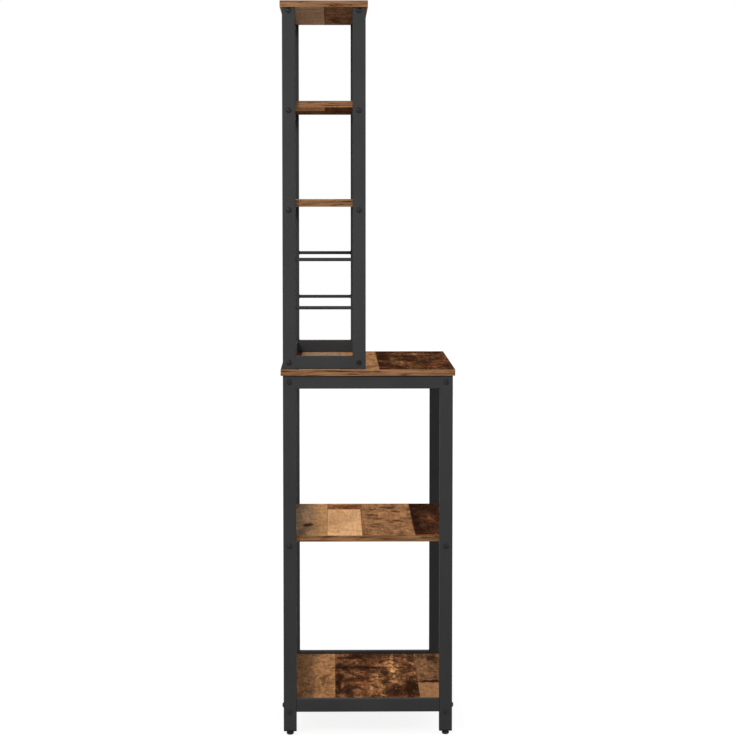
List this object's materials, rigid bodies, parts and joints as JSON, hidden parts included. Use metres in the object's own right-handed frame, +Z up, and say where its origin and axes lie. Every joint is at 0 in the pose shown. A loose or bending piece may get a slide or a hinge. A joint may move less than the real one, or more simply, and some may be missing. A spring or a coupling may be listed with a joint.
{
  "type": "kitchen shelf",
  "caption": "Free-standing kitchen shelf: a deep base with a worktop and shelves and a narrow open hutch behind, in rectangular steel tube with wood-decor boards.",
  "frame": {"origin": "on the floor under the middle of the worktop", "axes": "+Z up, +Y towards the back where the hutch stands, +X towards the right seen from the front"},
  "size_m": [0.6, 0.4, 1.687],
  "materials": {
    "frame_coat": "matte charcoal powder coat with a fine texture",
    "wood_decor": "matte rustic wood decor on particle board, edges banded",
    "black_screw": "satin black coating",
    "zinc_steel": "zinc plated",
    "insert_steel": "plain steel, hidden in the tubes",
    "insert_brass": "plain brass, hidden in the leg plugs",
    "black_plastic": "moulded matte black",
    "foot_plastic": "moulded matte black",
    "stud_steel": "blackened steel"
  },
  "bodies": {
    "frame": {"bar_inserts": "insert_steel", "base_back_left_post": "frame_coat", "base_back_right_post": "frame_coat", "base_back_top_rail": "frame_coat", "base_frame_screws": "black_screw", "base_front_left_post": "frame_coat", "base_front_right_post": "frame_coat", "base_front_top_rail": "frame_coat", "base_left_bottom_rail": "frame_coat", "base_left_top_rail": "frame_coat", "base_right_bottom_rail": "frame_coat", "base_right_top_rail": "frame_coat", "bottom_rail_bolts": "black_screw", "bottom_rail_inserts": "insert_steel", "bottom_shelf": "wood_decor", "bottom_shelf_back_bar": "frame_coat", "bottom_shelf_front_bar": "frame_coat", "cross_rail_inserts": "insert_steel", "hutch_back_bottom_rail": "frame_coat", "hutch_back_left_post": "frame_coat", "hutch_back_right_post": "frame_coat", "hutch_frame_screws": "black_screw", "hutch_front_left_post": "frame_coat", "hutch_front_right_post": "frame_coat", "hutch_hole_plugs": "black_plastic", "hutch_left_bottom_rail": "frame_coat", "hutch_left_lower_rod": "frame_coat", "hutch_left_upper_rod": "frame_coat", "hutch_lower_shelf": "wood_decor", "hutch_lower_shelf_back_bar": "frame_coat", "hutch_lower_shelf_front_bar": "frame_coat", "hutch_right_bottom_rail": "frame_coat", "hutch_right_lower_rod": "frame_coat", "hutch_right_upper_rod": "frame_coat", "hutch_tie_bolts": "black_screw", "hutch_tie_nuts": "zinc_steel", "hutch_upper_shelf": "wood_decor", "hutch_upper_shelf_back_bar": "frame_coat", "hutch_upper_shelf_front_bar": "frame_coat", "leg_plugs": "black_plastic", "leg_thread_inserts": "insert_brass", "middle_shelf": "wood_decor", "middle_shelf_back_bar": "frame_coat", "middle_shelf_front_bar": "frame_coat", "shelf_screws": "zinc_steel", "top_shelf": "wood_decor", "top_shelf_back_bar": "frame_coat", "top_shelf_front_bar": "frame_coat", "worktop": "wood_decor", "worktop_screws": "zinc_steel"},
    "front_left_pad": {"front_left_foot_pad": "foot_plastic"},
    "front_left_stud": {"front_left_foot_stud": "stud_steel"},
    "front_right_pad": {"front_right_foot_pad": "foot_plastic"},
    "front_right_stud": {"front_right_foot_stud": "stud_steel"},
    "back_left_pad": {"back_left_foot_pad": "foot_plastic"},
    "back_left_stud": {"back_left_foot_stud": "stud_steel"},
    "back_right_pad": {"back_right_foot_pad": "foot_plastic"},
    "back_right_stud": {"back_right_foot_stud": "stud_steel"}
  },
  "joints": [
    {"name": "front_left_foot_lift", "type": "slide", "parent": "frame", "child": "front_left_pad", "axis": [0, 0, -1], "range_m": [0, 0.015]},
    {"name": "front_left_foot_turn", "type": "hinge", "parent": "front_left_pad", "child": "front_left_stud", "pos_m": [-0.285, -0.18, 0.02], "axis": [0, 0, -1], "range_deg": [0, 4320]},
    {"name": "front_right_foot_lift", "type": "slide", "parent": "frame", "child": "front_right_pad", "axis": [0, 0, -1], "range_m": [0, 0.015]},
    {"name": "front_right_foot_turn", "type": "hinge", "parent": "front_right_pad", "child": "front_right_stud", "pos_m": [0.285, -0.18, 0.02], "axis": [0, 0, -1], "range_deg": [0, 4320]},
    {"name": "back_left_foot_lift", "type": "slide", "parent": "frame", "child": "back_left_pad", "axis": [0, 0, -1], "range_m": [0, 0.015]},
    {"name": "back_left_foot_turn", "type": "hinge", "parent": "back_left_pad", "child": "back_left_stud", "pos_m": [-0.285, 0.18, 0.02], "axis": [0, 0, -1], "range_deg": [0, 4320]},
    {"name": "back_right_foot_lift", "type": "slide", "parent": "frame", "child": "back_right_pad", "axis": [0, 0, -1], "range_m": [0, 0.015]},
    {"name": "back_right_foot_turn", "type": "hinge", "parent": "back_right_pad", "child": "back_right_stud", "pos_m": [0.285, 0.18, 0.02], "axis": [0, 0, -1], "range_deg": [0, 4320]}
  ],
  "couplings": [
    {"joint": "front_left_foot_lift", "follows": "front_left_foot_turn", "m_per_rad": 0.00019894},
    {"joint": "front_right_foot_lift", "follows": "front_right_foot_turn", "m_per_rad": 0.00019894},
    {"joint": "back_left_foot_lift", "follows": "back_left_foot_turn", "m_per_rad": 0.00019894},
    {"joint": "back_right_foot_lift", "follows": "back_right_foot_turn", "m_per_rad": 0.00019894}
  ]
}
